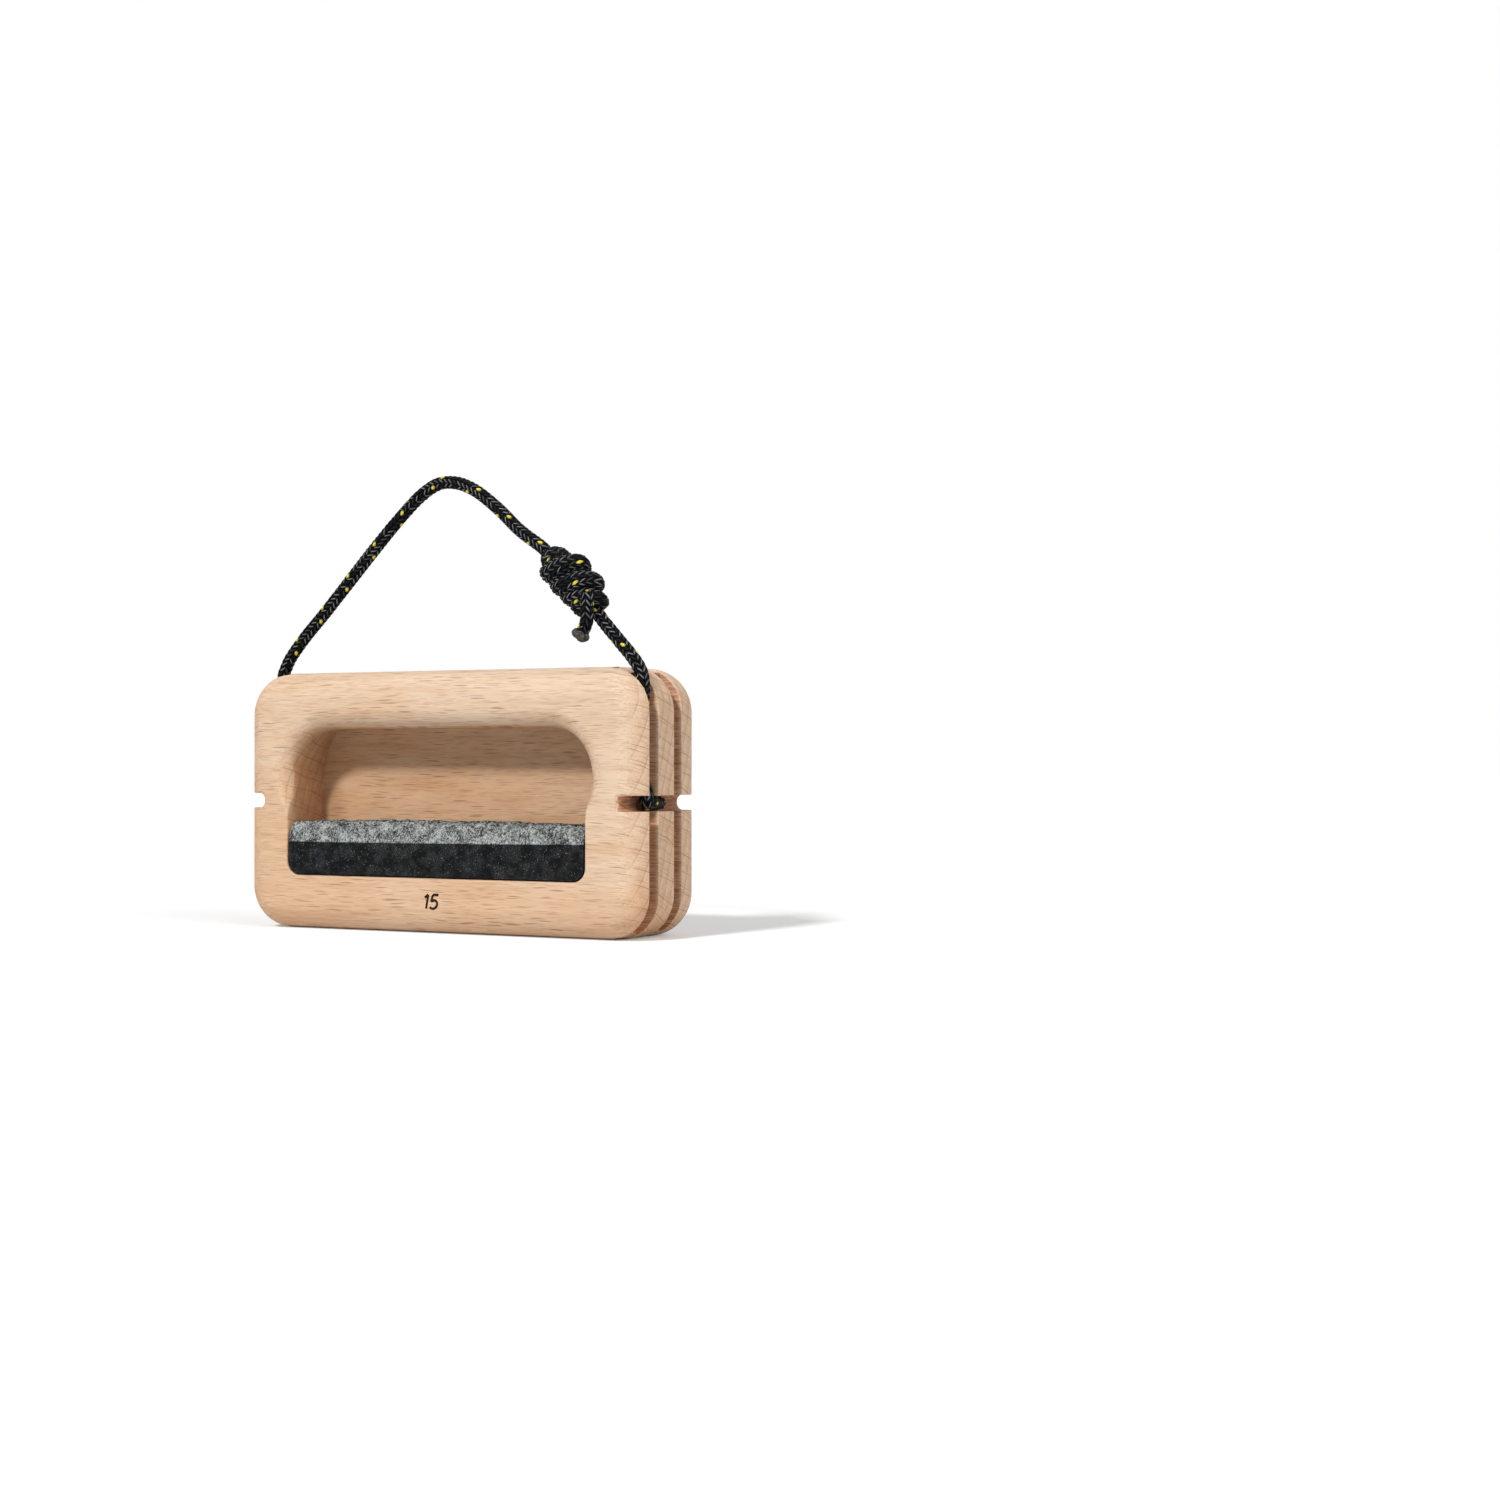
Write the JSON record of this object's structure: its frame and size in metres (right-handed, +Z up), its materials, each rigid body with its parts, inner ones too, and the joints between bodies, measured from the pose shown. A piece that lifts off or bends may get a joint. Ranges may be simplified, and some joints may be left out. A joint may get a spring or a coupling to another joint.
{
  "type": "portable hangboard",
  "caption": "Small wooden hangboard with a deep finger pocket, a stone edge set into its floor and a knotted loop of braided cord to hang it by.",
  "frame": {"origin": "middle of the wooden block's underside, on the surface it stands on", "axes": "+X along the block to the end where the cord comes up the front groove, +Y to the back, +Z up; the finger pocket opens towards -Y"},
  "size_m": [0.1221, 0.03, 0.1155],
  "materials": {
    "wood": "sanded, close-grained pale beech, bare",
    "stone": "dark stone, polished front with a rough rounded nose and top",
    "cord": "black braided cord with yellow tracer flecks"
  },
  "bodies": {
    "block": {"wooden_body": "wood", "stone_edge": "stone", "cord_held_run": "cord", "cord_left_foot": "cord", "cord_right_foot": "cord"},
    "loop": {"cord_left_leg": "cord", "cord_right_leg": "cord", "knot_upper_barrel": "cord", "knot_lower_barrel": "cord", "cord_tail_front": "cord", "cord_tail_rear": "cord"}
  },
  "joints": [
    {"name": "loop_swing", "type": "hinge", "parent": "block", "child": "loop", "pos_m": [-0.0025, -0.00355, 0.068], "axis": [0.9963, -0.0857, 0], "range_deg": [-72, 70]}
  ]
}
